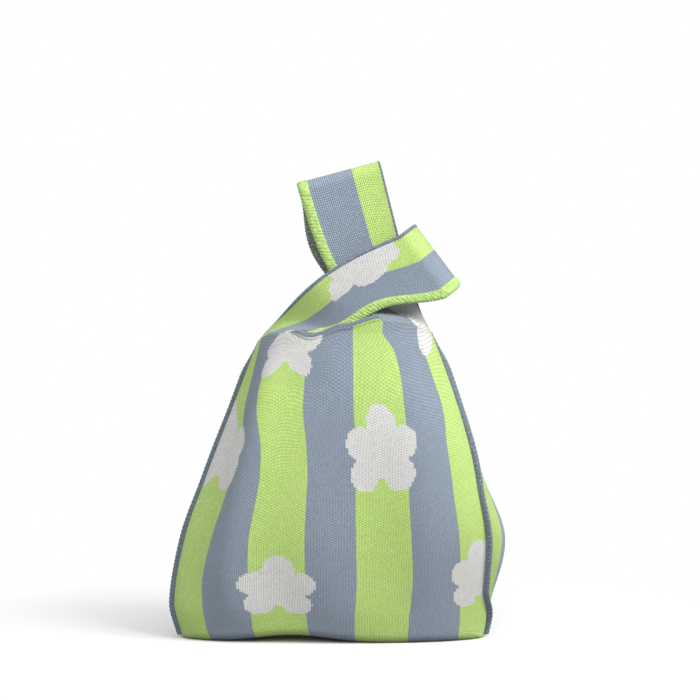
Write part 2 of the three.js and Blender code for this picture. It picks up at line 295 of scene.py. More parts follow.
def thicken(obj: bpy.types.Object, thickness: float, offset: float, mirrored: bool) -> None:
    """Gives a sheet its thickness, its inner side in the second material, and a crisp rim.

    Args:
        obj: the sheet.
        thickness: millimetres.
        offset: -1 to grow inwards only, 0 to grow to both sides.
        mirrored: whether the grid was laid the other way round, so that its faces point inwards.
    """
    if mirrored:
        obj.data.flip_normals()
    solid = obj.modifiers.new("knit", "SOLIDIFY")
    solid.thickness = thickness * MM
    solid.offset = offset
    solid.use_even_offset = True
    solid.material_offset = 1
    depsgraph = bpy.context.evaluated_depsgraph_get()
    flat = obj.data
    solid_mesh = bpy.data.meshes.new_from_object(obj.evaluated_get(depsgraph))
    obj.modifiers.clear()
    obj.data = solid_mesh
    bpy.data.meshes.remove(flat)
    solid_mesh.name = obj.name
    bm = bmesh.new()
    bm.from_mesh(solid_mesh)
    for edge in bm.edges:
        edge.smooth = edge.calc_face_angle(0.0) < math.radians(CREASE)
    bm.to_mesh(solid_mesh)
    bm.free()


def dress(
    obj: bpy.types.Object, slot: str, nodes: tuple[str, ...], *materials: bpy.types.Material
) -> bpy.types.Object:
    """Gives a piece its finishes and hides the solids that it stands for.

    Args:
        obj: the piece.
        slot: the record's material slot; not used.
        nodes: the solids that it replaces.
        materials: its finishes, the outer side's first.

    Returns:
        The piece.
    """
    for material in materials:
        obj.data.materials.append(material)
    if nodes:
        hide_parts(*nodes)
    LOG.info("%s: %d faces", obj.name, len(obj.data.polygons))
    return obj


@dataclass(frozen=True)
class StripedKnit:
    """The double knit: lime and slate stripes with white blossoms on the lime ones, in rows of stitches."""

    name: str = "double-knit cotton blend, striped"
    lime: str = "c0df80"
    slate: str = "909dac"
    white: str = "dfdedc"
    stripe: float = 35.0
    first: float = 10.0
    blossom_low: float = 52.0
    blossom_high: float = 150.0
    blossom_pitch: float = 162.5
    blossom_first: float = 24.4
    blossom_stretch: float = 1.1
    # The middle and one petal of each pair: how far to the side and up it lies, and its radius.
    petals: tuple[tuple[float, float, float], ...] = (
        (0.0, 0.0, 16.5),
        (0.0, 15.0, 10.5),
        (14.5, 3.5, 10.0),
        (12.0, -15.0, 10.0),
    )
    # Real stitches are about 1.7 by 1.4 mm. The colours step by them, and their relief is drawn
    # coarser, so that it doesn't shimmer.
    wale: float = 1.7
    course: float = 1.4
    coarser: float = 1.2
    relief: float = 0.6
    # How far a stitch's legs slant, in courses, and how bright the painted shade in the grooves and the
    # painted highlight on the legs are.
    slant: float = 0.9
    groove_painted_shade: float = 0.47
    leg_painted_highlight: float = 0.8
    uneven_light: float = 0.1

    def material(self) -> bpy.types.Material:
        """Makes the knit: matt yarn with a painted highlight on its stitches' legs and painted shade in
        their grooves.

        Returns:
            The material, which reads the piece's UV map in metres.
        """
        made, tree = new_material(self.name)
        add = partial(add_node, tree)
        uv = add(Kind.SPLIT, add(Kind.UV, uv_map=UV_NAME))
        column, row = self._stitch(tree, uv, 1.0, 0.0)[:2]
        u = add(Kind.MATH, column, self.wale, self.wale / 2, operation="MULTIPLY_ADD")
        v = add(Kind.MATH, row, self.course, self.course / 2, operation="MULTIPLY_ADD")

        repeat = 2 * self.stripe
        shifted = add(Kind.MATH, u, self.first, operation="ADD")
        place = add(Kind.MATH, shifted, repeat, operation="FLOORED_MODULO")
        lime = add(Kind.MATH, place, self.stripe, operation="LESS_THAN")
        aside = add(Kind.MATH, u, self.first - self.stripe / 2, operation="ADD")
        dx = self._blossom_offset(tree, aside, repeat, 1.0)
        start = (self.first + self.stripe / 2) / repeat
        count = add(Kind.MATH, u, 1 / repeat, start, operation="MULTIPLY_ADD")
        number = add(Kind.MATH, count, operation="FLOOR")
        odd = add(Kind.MATH, number, 2.0, operation="FLOORED_MODULO")
        step = self.blossom_high - self.blossom_low
        level = add(Kind.MATH, odd, step, v, operation="MULTIPLY_ADD")
        up = add(Kind.MATH, level, self.blossom_high, operation="SUBTRACT")
        dy = self._blossom_offset(tree, up, self.blossom_pitch, self.blossom_stretch)
        above = add(Kind.MATH, v, self.blossom_first, operation="GREATER_THAN")
        white = add(Kind.MATH, self._blossom(tree, dx, dy), above, operation="MULTIPLY")
        ground = add(Kind.MIX, lime, linear(self.slate), linear(self.lime), data_type="RGBA")
        colour = add(Kind.MIX, white, ground, linear(self.white), data_type="RGBA")
        self._dress(tree, colour, self._stitch(tree, uv, self.coarser, 0.5))
        return made

    def _stitch(self, tree: Tree, uv: Node, coarser: float, drop: float) -> tuple[Node, ...]:
        """Finds the stitch that a place lies in: a V of two slanted legs.

        Args:
            tree: the node tree.
            uv: the place, split into its numbers.
            coarser: how much larger than real the stitch is.
            drop: how far each wale lies below its neighbour, in courses.

        Returns:
            The wale's number, the course's number, the distance from the wale's middle from 0 to a
            half, and the place along the wale in courses.
        """
        add = partial(add_node, tree)
        width, height = self.wale * coarser * MM, self.course * coarser * MM
        across = add(Kind.MATH, uv.outputs["X"], 1 / width, operation="MULTIPLY")
        along = add(Kind.MATH, uv.outputs["Y"], 1 / height, operation="MULTIPLY")
        part = add(Kind.MATH, across, operation="FRACT")
        leg = add(Kind.MATH, add(Kind.MATH, part, 0.5, operation="SUBTRACT"), operation="ABSOLUTE")
        column = add(Kind.MATH, across, operation="FLOOR")
        dropped = add(Kind.MATH, column, drop, along, operation="MULTIPLY_ADD")
        slant = add(Kind.MATH, leg, -self.slant, dropped, operation="MULTIPLY_ADD")
        return column, add(Kind.MATH, slant, operation="FLOOR"), leg, slant

    def _blossom_offset(self, tree: Tree, at: Node, repeat: float, stretch: float) -> Node:
        """Measures from the middle of the nearest blossom, which repeats and is stretched this way."""
        add = partial(add_node, tree)
        moved = add(Kind.MATH, at, repeat / 2, operation="ADD")
        within = add(Kind.MATH, moved, repeat, operation="FLOORED_MODULO")
        return add(Kind.MATH, within, 1 / stretch, -repeat / 2 / stretch, operation="MULTIPLY_ADD")

    def _blossom(self, tree: Tree, dx: Node, dy: Node) -> Node:
        """Draws a blossom of five round petals about its middle.

        Args:
            tree: the node tree.
            dx: distance to the side of its middle.
            dy: distance above its middle.

        Returns:
            1 on the blossom and 0 off it.
        """
        add = partial(add_node, tree)
        aside = add(Kind.MATH, dx, operation="ABSOLUTE")
        whole: Node | float = 0.0
        for across, up, radius in self.petals:
            x = add(Kind.MATH, aside, across, operation="SUBTRACT")
            y = add(Kind.MATH, dy, up, operation="SUBTRACT")
            rise = add(Kind.MATH, y, y, operation="MULTIPLY")
            square = add(Kind.MATH, x, x, rise, operation="MULTIPLY_ADD")
            petal = add(Kind.MATH, square, radius**2, operation="LESS_THAN")
            whole = add(Kind.MATH, petal, whole, operation="MAXIMUM")
        return whole

    def _dress(self, tree: Tree, colour: Node, stitch: tuple[Node, ...]) -> None:
        """Adds the relief of the stitches, painted shade in their grooves, a painted highlight on their
        legs, small differences in tone, and the shader.

        Args:
            tree: the node tree.
            colour: the yarn's colour.
            stitch: what _stitch finds of the stitch.
        """
        add = partial(add_node, tree)
        column, row, leg, slant = stitch
        middle = add(Kind.MATH, leg, 4.0, -1.0, operation="MULTIPLY_ADD")
        part = add(Kind.MATH, slant, operation="FRACT")
        up = add(Kind.MATH, part, 2.0, -1.0, operation="MULTIPLY_ADD")
        # A leg rounds over from 1 in its middle to 0 at its sides and at its ends.
        squares = [add(Kind.MATH, way, way, operation="MULTIPLY") for way in (middle, up)]
        rounds = [add(Kind.MATH, square, -1.0, 1.0, operation="MULTIPLY_ADD") for square in squares]
        height = add(Kind.MATH, add(Kind.MATH, *rounds, operation="MULTIPLY"), 0.5, operation="POWER")
        chance = add(Kind.WHITE_NOISE, add(Kind.JOIN, column, row), noise_dimensions="3D")
        # Painted shade and highlight: the grooves darken the colour, and the legs' crowns brighten it.
        groove = add(Kind.MATH, height, self.leg_painted_highlight, self.groove_painted_shade, operation="MULTIPLY_ADD")
        shade = add(Kind.MATH, chance.outputs["Value"], self.uneven_light, groove, operation="MULTIPLY_ADD")
        yarn = add(Kind.MIX, 1.0, colour, shade, data_type="RGBA", blend_type="MULTIPLY")
        finish_yarn(tree, yarn, add(Kind.BUMP, BUMP, self.relief * MM, None, height))


@dataclass(frozen=True)
class PlainYarn:
    """A knit of one colour: the chunky edges, the linked seams, or the striped knit's reverse side."""

    name: str
    colour: str
    mottle: str
    pitch: float
    relief: float
    # The knots' fine detail and its strength, and how the mottle fades into the colour.
    detail: float = 1.5
    roughness: float = 0.5
    contrast: float = 2.2
    shade: float = -0.6

    def material(self) -> bpy.types.Material:
        """Makes the yarn: matt, a little uneven in colour, with knots as large as its pitch.

        Returns:
            The material, which reads the piece's UV map in metres.
        """
        made, tree = new_material(self.name)
        add = partial(add_node, tree)
        uv = add(Kind.UV, uv_map=UV_NAME)
        scale = 1 / (self.pitch * MM)
        knots = add(Kind.NOISE, uv, scale, self.detail, self.roughness, noise_dimensions="2D")
        mixed = add(Kind.MATH, knots, self.contrast, self.shade, operation="MULTIPLY_ADD", use_clamp=True)
        colour = add(Kind.MIX, mixed, linear(self.mottle), linear(self.colour), data_type="RGBA")
        finish_yarn(tree, colour, add(Kind.BUMP, BUMP, self.relief * MM, None, knots))
        return made


@dataclass(frozen=True)
class Wardrobe:
    """The finishes of the bag, made once."""

    knit: bpy.types.Material
    reverse: bpy.types.Material
    edge: bpy.types.Material
    seam: bpy.types.Material

    @classmethod
    def make(cls) -> "Wardrobe":
        """Makes the four finishes."""
        return cls(
            StripedKnit().material(),
            # The floats on the reverse mix both yarns to a dull grey-green. On the chunky edges' inner half
            # it is painted shade.
            PlainYarn("double-knit cotton blend, reverse side", "8d9a8e", "5f6a66", 1.6, 0.4).material(),
            # A thick, soft edge whose loops make small pale knots.
            PlainYarn("chunky lime edge knit", "bfdc8e", "9fbf68", 2.2, 0.8).material(),
            # A tight row of linked loops, darker than the slate stripes.
            PlainYarn("linked slate seam yarn", "7f8a98", "646e7b", 1.5, 0.5).material(),
        )


@dataclass(frozen=True)
class Station:
    """Half sizes of the pouch at one height, how square its outline is, and its turn in degrees."""

    height: float
    left: float
    right: float
    depth: float
    square: float
    turn: float


@dataclass(frozen=True)
class Fold:
    """A crest or hollow up a panel: its place and width as shares, its height, and the way it leans."""

    place: float
    width: float
    height: float
    lean: float = 0.0


@dataclass(frozen=True)
class Wave:
    """A slow wave of the cloth: its height, its run across and up a panel, and its shift on the back."""

    height: float
    across: float
    up: float
    shift: float


@dataclass(frozen=True)
class Pouch:
    """The striped pouch: two panels from the middle of the base to the rim, their seams and hems."""

    stations: tuple[Station, ...] = (
        Station(0, 103, 98, 27, 2.4, 0),
        Station(24, 108.5, 103, 34, 2.4, 0),
        Station(68, 101, 112, 43, 2.5, -1),
        Station(105, 88, 100, 46, 2.7, -3),
        Station(155, 69, 82, 46, 2.9, -5),
        Station(204, 49.5, 63, 39.5, 3.2, 0),
    )
    outline_steps: int = 96
    knit: float = 3.0
    flat_panel: tuple[float, float] = (0.225, 0.245)
    panel_width: float = 225.0
    panel_grid: tuple[int, int] = (150, 170)
    keeper_share: float = 0.267
    wrist_share: float = 0.345
    # The rim dips in the middle of the mouth's left half, where its edge hangs slack.
    dip_share: float = 0.37
    rim_heights: tuple[float, ...] = (198, 204.5, 199.5, 206, 212, 204)

    # The right seam swings to the front about one level. Its ridge is a row of loops that thins and
    # sinks below the rim.
    seam_width: float = 2.4
    seam_swing: float = 30.0
    seam_level: float = 68.0
    seam_reach: float = 70.0
    ridge_start: float = 1.5
    ridge_width: float = 3.6
    ridge_thickness: float = 5.2
    ridge_girth: float = 14.0
    ridge_out: float = 1.0
    ridge_top: float = 24.0
    ridge_thin: float = 0.6
    ridge_grid: tuple[int, int] = (16, 420)
    loop_pitch: float = 2.8
    loop_swell: float = 0.06
    loop_drift: float = 9.0
    loop_uneven: float = 0.05

    # The rolled edge of the mouth thins towards the straps.
    hem: float = 4.0
    roll_width: float = 3.5
    roll_thickness: float = 5.0
    roll_thin: tuple[float, float] = (0.15, 0.5)
    roll_ends: tuple[float, float] = (0.16, 0.04)
    roll_rows: tuple[float, float] = (2.0, 3.0)
    roll_grid: tuple[int, int] = (16, 90)

    # A panel runs along the floor, round the foot and up. Its base arches off the floor.
    floor_end: float = 0.12
    foot_end: float = 0.2
    foot_radius: float = 7.0
    foot_limit: float = 0.45
    arch: float = 5.0
    arch_place: float = 0.38
    arch_width: float = 0.15
    arch_top: float = 45.0

    # Where the stripes' edges cross the front panel at some heights, as shares of its width, where
    # they cross the back, which bulges past the right seam, and where they are on the knit.
    stripe_levels: tuple[float, ...] = (8, 18, 30, 44, 68, 105, 132, 159, 192, 204)
    front_edges: tuple[tuple[float, ...], ...] = (
        (0.128, 0.137, 0.141, 0.139, 0.157, 0.21, 0.238, 0.181, 0.141, 0.112),
        (0.272, 0.284, 0.29, 0.291, 0.292, 0.309, 0.297, 0.258, 0.223, 0.268),
        (0.431, 0.442, 0.457, 0.459, 0.453, 0.451, 0.432, 0.397, 0.373, 0.392),
        (0.572, 0.586, 0.608, 0.613, 0.608, 0.607, 0.597, 0.578, 0.55, 0.542),
        (0.726, 0.741, 0.766, 0.771, 0.764, 0.763, 0.756, 0.737, 0.707, 0.657),
        (0.878, 0.891, 0.915, 0.915, 0.905, 0.897, 0.886, 0.886, 0.828, 0.833),
    )
    back_edges: tuple[tuple[float, ...], ...] = (
        (0.14, 0.153, 0.152, 0.145, 0.137, 0.133, 0.132, 0.134, 0.131, 0.108),
        (0.278, 0.284, 0.279, 0.273, 0.264, 0.262, 0.26, 0.26, 0.265, 0.265),
        (0.431, 0.43, 0.421, 0.413, 0.402, 0.4, 0.395, 0.391, 0.392, 0.395),
        (0.572, 0.57, 0.563, 0.558, 0.552, 0.552, 0.547, 0.54, 0.538, 0.541),
        (0.72, 0.715, 0.712, 0.712, 0.71, 0.712, 0.705, 0.69, 0.66, 0.658),
        (0.923, 0.936, 0.96, 0.96, 0.95, 0.942, 0.931, 0.931, 0.836, 0.833),
    )
    stripe_places: tuple[float, ...] = (25, 60, 95, 130, 165, 200)
    first_place: float = -9.0
    first_fade: Zone = (159, 204)

    # How much closer the rows lie at the foot and wider at the top, how far they sink at the right
    # seam, and how they are lifted and squeezed below the keeper, each with its shares and heights.
    rows_top: float = 220.0
    rows_steps: int = 441
    close: float = 0.4
    close_fade: Zone = (30, 75)
    wide: float = 0.33
    wide_fade: Zone = (140, 168)
    sunk: float = 10.0
    sunk_shares: Zone = (0.67, 1)
    sunk_heights: Zone = (120, 200)
    lift: tuple[float, float] = (-8, 10)
    lift_tilt: Zone = (0.13, 0.31)
    lift_start: Zone = (0.08, 0.14)
    lift_stop: Zone = (0.33, 0.43)
    lift_heights: Zone = (80, 150)
    squeeze: float = 18.0
    squeeze_stop: Zone = (0.36, 0.5)
    squeeze_heights: Zone = (165, 204)

    # The cloth is slack between the foot and the rim and held at the seams. The folds below the
    # straps lean with them.
    slack_start: Zone = (4, 50)
    slack_stop: Zone = (165, 196)
    held_share: float = 0.06
    fold_lean: float = 0.0003
    fold_level: float = 110.0
    creases: tuple[Fold, ...] = (
        Fold(0.25, 0.055, 4.6, 1),
        Fold(0.12, 0.06, -3.6, 1),
        Fold(0.38, 0.08, -2.0),
        Fold(0.79, 0.06, 2.0, -1),
        Fold(0.64, 0.08, -1.4),
    )
    waves: tuple[Wave, ...] = (Wave(0.9, 13, 31, 1.9), Wave(0.6, 21, -23, 3.8))

    def at(self, key: str, height: Points) -> Points:
        """Reads one of a station's sizes at some heights, on a smooth curve through the stations."""
        levels = [s.height for s in self.stations]
        return curve(levels, [getattr(s, key) for s in self.stations], height)

    def section(self, height: Points, angle: Points, out: Points | float = 0.0) -> Points:
        """Finds points on the pouch's outline.

        Args:
            height: heights of the points.
            angle: their places round the outline.
            out: how far outside it they are.

        Returns:
            The points.
        """
        c, s = np.cos(angle), np.sin(angle)
        square = self.at("square", height)
        size = (np.abs(c) ** square + np.abs(s) ** square) ** (-1 / square)
        x = (np.where(c < 0, self.at("left", height), self.at("right", height)) + out) * c * size
        y = (self.at("depth", height) + out) * s * size
        turn = np.radians(self.at("turn", height))
        turned = x * np.cos(turn) - y * np.sin(turn), x * np.sin(turn) + y * np.cos(turn)
        return np.stack([*turned, height + 0 * x], -1)

    def wall(self, face: Face, share: Points, height: Points, out: Points | float = 0.0) -> Points:
        """Finds points on a panel's wall.

        Args:
            face: which panel.
            share: shares of its width, from the left seam to the right one.
            height: heights.
            out: how far outside the panel's outer side.

        Returns:
            The points.
        """
        share, height = np.broadcast_arrays(np.asarray(share, float), np.asarray(height, float))
        away = (height - self.seam_level) / self.seam_reach
        swing = math.radians(self.seam_swing) * np.exp(-away * away) * smooth(0, self.seam_level / 2, height)
        last = -np.arctan(np.tan(swing) ** (2 / self.at("square", height)))
        first = face.value * math.pi
        angles = first + (last - first)[..., None] * np.linspace(0, 1, self.outline_steps + 1)
        outline = self.section(height[..., None], angles)
        steps = np.linalg.norm(np.diff(outline, axis=-2), axis=-1)
        lengths = np.concatenate([np.zeros_like(height)[..., None], np.cumsum(steps, -1)], -1)
        margin = self.seam_width / 2
        wanted = mix(margin, lengths[..., -1] - margin, share)
        return self.section(height, read_rows(lengths, angles, wanted), out)

    def rim(self, share: Points) -> Points:
        """Reads the rim's height at shares of a panel's width."""
        knots = np.array([0, self.keeper_share, self.dip_share, 0.5, 1 - self.wrist_share, 1])
        heights = np.array(self.rim_heights, float)
        k = np.clip(np.searchsorted(knots, share) - 1, 0, len(knots) - 2)
        t = (share - knots[k]) / (knots[k + 1] - knots[k])
        return mix(heights[k], heights[k + 1], smooth(0, 1, t))

    def rows_up(self, share: Points, height: Points) -> Points:
        """Measures along the knit from the foot.

        Args:
            share: shares of the panel's width.
            height: heights on the wall.

        Returns:
            Millimetres of knit.
        """
        levels = np.linspace(0, self.rows_top, self.rows_steps)
        density = 1 + self.close * (1 - smooth(*self.close_fade, levels))
        density -= self.wide * smooth(*self.wide_fade, levels)
        total = np.concatenate([[0], np.cumsum((density[1:] + density[:-1]) / 2 * np.diff(levels))])
        sunk = self.sunk * smooth(*self.sunk_shares, share) * (1 + smooth(*self.sunk_heights, height))
        lift = mix(*self.lift, smooth(*self.lift_tilt, share)) * smooth(*self.lift_start, share)
        lift *= (1 - smooth(*self.lift_stop, share)) * smooth(*self.lift_heights, height)
        squeeze = self.squeeze * smooth(*self.squeeze_heights, height)
        squeeze = squeeze * (1 - smooth(*self.squeeze_stop, share))
        return np.interp(height, levels, total) - sunk - lift + squeeze

    def across(self, face: Face, share: Points, height: Points) -> Points:
        """Measures across the knit from the left seam, with the stripes drawn in below the straps.

        The back's blossoms are on the other lime stripes.

        Args:
            face: which panel.
            share: shares of the panel's width.
            height: heights on the wall.

        Returns:
            Millimetres of knit.
        """
        lines = self.front_edges if face is Face.FRONT else self.back_edges
        edges = [curve(self.stripe_levels, line, height) for line in lines]
        start = 0.0 if face is Face.FRONT else self.stripe_places[2] - self.stripe_places[0]
        knots = np.stack([np.zeros_like(share), *edges, np.ones_like(share)], -1)
        first = self.first_place * (1 - smooth(*self.first_fade, height))
        others = (np.full_like(share, m) for m in (*self.stripe_places, self.panel_width))
        return start + read_rows(knots, np.stack([first, *others], -1), share)

    def folds(self, face: Face, share: Points, height: Points) -> Points:
        """Shapes the slack of the cloth: a crest below each strap, hollows beside it and slow waves.

        Args:
            face: which panel.
            share: shares of its width.
            height: heights on the wall.

        Returns:
            How far the cloth stands out of its plain shape, in millimetres.
        """
        free = smooth(*self.slack_start, height) * (1 - smooth(*self.slack_stop, height))
        side = smooth(0, self.held_share, share) * (1 - smooth(1 - self.held_share, 1, share))
        lean = self.fold_lean * (height - self.fold_level)
        out = np.zeros_like(share)
        for f in self.creases:
            out += f.height * np.exp(-(((share - f.place - f.lean * lean) / f.width) ** 2))
        for w in self.waves:
            shift = 0.0 if face is Face.FRONT else w.shift
            out += w.height * np.sin(w.across * share + height / w.up + shift)
        return free * side * out

    def panel(self, face: Face, share: Points, travel: Points) -> Patch:
        """Finds points of a panel that runs along the floor, round the foot and up to the rim.

        Args:
            face: which panel.
            share: shares of its width.
            travel: shares of the way from the middle of the base to the rim.

        Returns:
            Points, and their places on the knit across and along it.
        """
        foot = self.wall(face, share, 0 * share)
        reach = np.abs(foot[:, 1])
        radius = np.minimum(self.foot_radius, self.foot_limit * reach)
        rise = np.clip((travel - self.foot_end) / (1 - self.foot_end), 0, 1)
        height = mix(radius, self.rim(share), rise)
        wall = self.wall(face, share, height, self.folds(face, share, height))
        flat = np.clip(travel / self.floor_end, 0, 1) * (1 - radius / reach)
        base = foot * np.stack([np.ones_like(share), flat, np.ones_like(share)], -1)
        t = np.clip((travel - self.floor_end) / (self.foot_end - self.floor_end), 0, 1)[:, None]
        points = (1 - t) ** 2 * base + 2 * t * (1 - t) * foot + t * t * wall
        arch = self.arch * np.exp(-(((share - self.arch_place) / self.arch_width) ** 2))
        points[:, 2] += arch * (1 - smooth(0, self.arch_top, points[:, 2]))
        along = mix(-(1 - flat) * reach, self.rows_up(share, height), t[:, 0])
        return points, self.across(face, share, height), along

    def seam(self, side: Side, around: Points, travel: Points) -> Patch:
        """Finds points of the linked ridge that joins the panels at one side.

        Args:
            side: which seam.
            around: shares of the way round the ridge.
            travel: shares of the way from the foot to the rim.

        Returns:
            Points, and their places on the yarn.
        """
        share = np.full_like(travel, 0.0 if side is Side.LEFT else 1.0)
        height = mix(self.ridge_start, self.rim(share), travel)
        front, back = (self.wall(face, share, height) for face in Face)
        across = unit(back - front)
        outwards = np.cross(across, UP)
        outwards *= np.sign(outwards[:, :1]) * side.value
        below = smooth(0, self.ridge_top, self.rim(share) - height)
        loops = 1 + self.loop_swell * np.sin(2 * np.pi * height / self.loop_pitch)
        loops = loops + self.loop_uneven * np.sin(height / self.loop_drift)
        loops = loops * mix(self.ridge_thin, 1, below)
        line = (front + back) / 2 + outwards * mix(-self.ridge_out, self.ridge_out, below)[:, None]
        width, thickness = loops * self.ridge_width, loops * self.ridge_thickness
        return oval(line, across, outwards, around, width, thickness), self.ridge_girth * around, height

    def mouth_hem(self, face: Face, around: Points, travel: Points) -> Patch:
        """Finds points of the rolled edge of the mouth between the two straps.

        Args:
            face: which panel it finishes.
            around: shares of the way round the roll.
            travel: shares of the way along it.

        Returns:
            Points, and their places on the striped knit.
        """
        share = mix(self.keeper_share, 1 - self.wrist_share, travel)
        height = self.rim(share)
        outside, inside = (self.wall(face, share, height, out) for out in (0.0, -self.knit))
        taper = np.ones_like(travel)
        for way, thin, end in zip((travel, 1 - travel), self.roll_thin, self.roll_ends):
            taper *= mix(thin, 1, smooth(0, end, way))
        line = (outside + inside) / 2 + 0.5 * self.hem * taper[:, None] * UP
        width, thickness = taper * self.roll_width, taper * self.roll_thickness
        points = oval(line, unit(outside - inside), UP, around, width, thickness)
        middle, turn = self.roll_rows
        rows = self.rows_up(share, height) + turn * np.sin(2 * np.pi * around) + middle
        return points, self.across(face, share, height), rows

    def build(self, clothes: Wardrobe) -> None:
        """Builds and dresses the panels, seams and hems, which all move with the bag.

        Args:
            clothes: the finishes.
        """
        seams, panels = [], []
        for side in Side:
            name = f"{side.name.lower()}_side_seam"
            ridge = make_piece(f"{name}_ridge", partial(self.seam, side), *self.ridge_grid, tube=True)
            seams.append(dress(ridge, "slate_seam", (name,), clothes.seam))
        for face in Face:
            name = face.name.lower()
            hem = partial(self.mouth_hem, face)
            roll = make_piece(f"{name}_mouth_roll", hem, *self.roll_grid, tube=True, two_halves=True)
            dress(roll, "slate_seam", (f"{name}_mouth_hem",), clothes.seam, clothes.knit)
            pouch = make_piece(f"{name}_pouch", partial(self.panel, face), *self.panel_grid)
            dress(pouch, "lime_knit", (f"{name}_panel",), clothes.knit, clothes.reverse)
            thicken(pouch, self.knit, -1.0, face is Face.BACK)
            panels += [roll, pouch]
        for piece in panels + seams:
            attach(piece, "bag")


@dataclass(frozen=True)
class Trim:
    """An edge of a strap: its section, its knots' pitch, its size at the root, its groove and grid."""

    width: float
    thickness: float
    pitch: float
    root_size: float
    groove: float
    columns: int


@dataclass(frozen=True)
class Strap:
    """One strap: a knit band from the front rim over a fold to the back rim, with two edges."""

    name: str
    side: Side
    pouch: Pouch
    reach: float
    lean: float
    width: float
    fold_tilt: float
    half_depth: float
    fold_length: float
    outer_bow: float
    inner_bow: float
    inner_sway: float
    sway_skew: float
    bow_skew: float
    inner_settle: float
    back_drop: float
    outer_side: float
    gather: float
    stripe_skew: float
    stripe_span: float
    flat_root: tuple[float, float]
    binding: Trim
    chunky: Trim = Trim(8.0, 5.0, 2.4, 0.12, 0.16, 20)
    flat_loop: tuple[float, float] = (44.0, 240.0)
    root_share: float = 0.24
    root_end: float = 4 / 14
    drop_skew: float = 1.4
    gather_length: float = 40.0
    bend_length: float = 20.0
    # The knit tucks into the rim, and reaches under the chunky edge there. Up the strap its stripes
    # spread. These fade out over lengths of the root.
    tuck: float = 1.5
    tuck_fade: float = 0.15
    edge_fade: float = 0.7
    spread_fade: float = 2.0
    # The knots of both edges swell and wander along and round them.
    knot: float = 0.05
    wander: tuple[float, float] = (1.6, 1.5)
    wander_length: tuple[float, float] = (5.3, 3.1)
    wander_round: tuple[float, float] = (3.0, 2.0)
    groove_width: float = 0.08
    girth: float = 2.2
    columns: int = 36
    root_rows: int = 24
    loop_rows: int = 150
    edge_finer: int = 4
    rim_steps: int = 9

    def panel_share(self, t: Points) -> Points:
        """Finds where on the panels' width a place across the strap starts, 0 at its outer side."""
        if self.side is Side.LEFT:
            return self.pouch.keeper_share * np.asarray(t, float)
        return 1 - self.pouch.wrist_share * np.asarray(t, float)

    def root(self, face: Face, t: Points) -> Points:
        """Finds points in the middle of the rim's thickness, at places across the strap."""
        share = self.panel_share(t)
        return self.pouch.wall(face, share, self.pouch.rim(share), -self.pouch.knit / 2)

    def rim_ends(self, face: Face) -> Points:
        """Finds the strap's outer and inner corner on the rim."""
        return self.root(face, np.array([0.0, 1.0]))

    def ends(self) -> tuple[Points, Points, Points, Points]:
        """Finds the two ends of the fold's line, the way it faces and the way across it."""
        lean, tilt = math.radians(self.lean), math.radians(self.fold_tilt)
        run = (self.reach - self.fold_length) * np.array([math.cos(lean), 0, math.sin(lean)])
        middle = self.rim_ends(Face.FRONT).mean(0) * [1, 0, 1] + run
        ahead = np.array([math.cos(tilt), 0, math.sin(tilt)])
        sideways = np.array([-ahead[2], 0, ahead[0]]) * self.outer_side
        half = sideways * self.width / 2
        return middle + half, middle - half, ahead, sideways

    def run(self, face: Face, s: Points, t: Points) -> Points:
        """Finds points on the front or back run of the strap.

        Args:
            face: which run.
            s: shares of the way from the root to the fold.
            t: places across the strap, from its outer side to the mouth.

        Returns:
            The points.
        """
        outer_end, inner_end, _, sideways = self.ends()
        outer_root, inner_root = self.rim_ends(Face.FRONT) * [1, 0, 1]
        first, last = self.rim_ends(face)
        bow = np.sin(np.pi * s**self.bow_skew)[:, None] * sideways
        outer = mix(outer_root, outer_end, s[:, None]) + self.outer_bow * bow
        inner = mix(inner_root, inner_end, s[:, None]) - self.inner_bow * bow
        depth = face.value * self.half_depth
        outer[:, 1] = mix(first[1], depth, smooth(0, 2 * self.root_share, s))
        inner[:, 1] = mix(last[1], depth, smooth(0, self.inner_settle, s))
        turn = np.pi * s**self.sway_skew
        inner -= (self.inner_sway * np.sin(2 * turn) * np.sin(turn))[:, None] * sideways
        if face is Face.BACK:
            inner -= self.back_drop * np.sin(np.pi * s**self.drop_skew)[:, None] ** 2 * sideways
        hold = (1 - smooth(0, self.root_share, s))[:, None] ** 2
        bulge = self.root(face, t) - mix(first, last, t[:, None])
        return mix(outer, inner, t[:, None]) + bulge * hold

    def fold_share(self) -> float:
        """Finds the share of the strap's way that lies in its fold."""
        arc = math.pi * math.hypot(self.half_depth, self.fold_length) / math.sqrt(2)
        return arc / (arc + 2 * (self.reach - self.fold_length))

    def root_length(self) -> float:
        """Finds the share of the strap's way that lies in one root."""
        return self.root_end * (1 - self.fold_share()) / 2

    def root_way(self, q: Points) -> Points:
        """Measures from the rim at either end of the strap, in lengths of its roots."""
        return (0.5 - np.abs(q - 0.5)) / self.root_length()

    def at(self, q: Points, t: Points) -> Points:
        """Finds points on the middle of the strap's thickness.

        Args:
            q: shares of the way from the front root over the fold to the back root.
            t: places across the strap, from its outer side to the mouth.

        Returns:
            The points.
        """
        q, t = np.broadcast_arrays(np.asarray(q, float), np.asarray(t, float))
        turn = self.fold_share()
        run = (1 - turn) / 2
        outer_end, inner_end, ahead, _ = self.ends()
        angle = np.clip((q - 0.5) / turn, -0.5, 0.5) * np.pi
        fold = mix(outer_end, inner_end, t[:, None]) + self.fold_length * np.cos(angle)[:, None] * ahead
        fold[:, 1] = self.half_depth * np.sin(angle)
        front = self.run(Face.FRONT, np.clip(q / run, 0, 1), t)
        back = self.run(Face.BACK, np.clip((1 - q) / run, 0, 1), t)
        return np.where((q < run)[:, None], front, np.where((q > 1 - run)[:, None], back, fold))

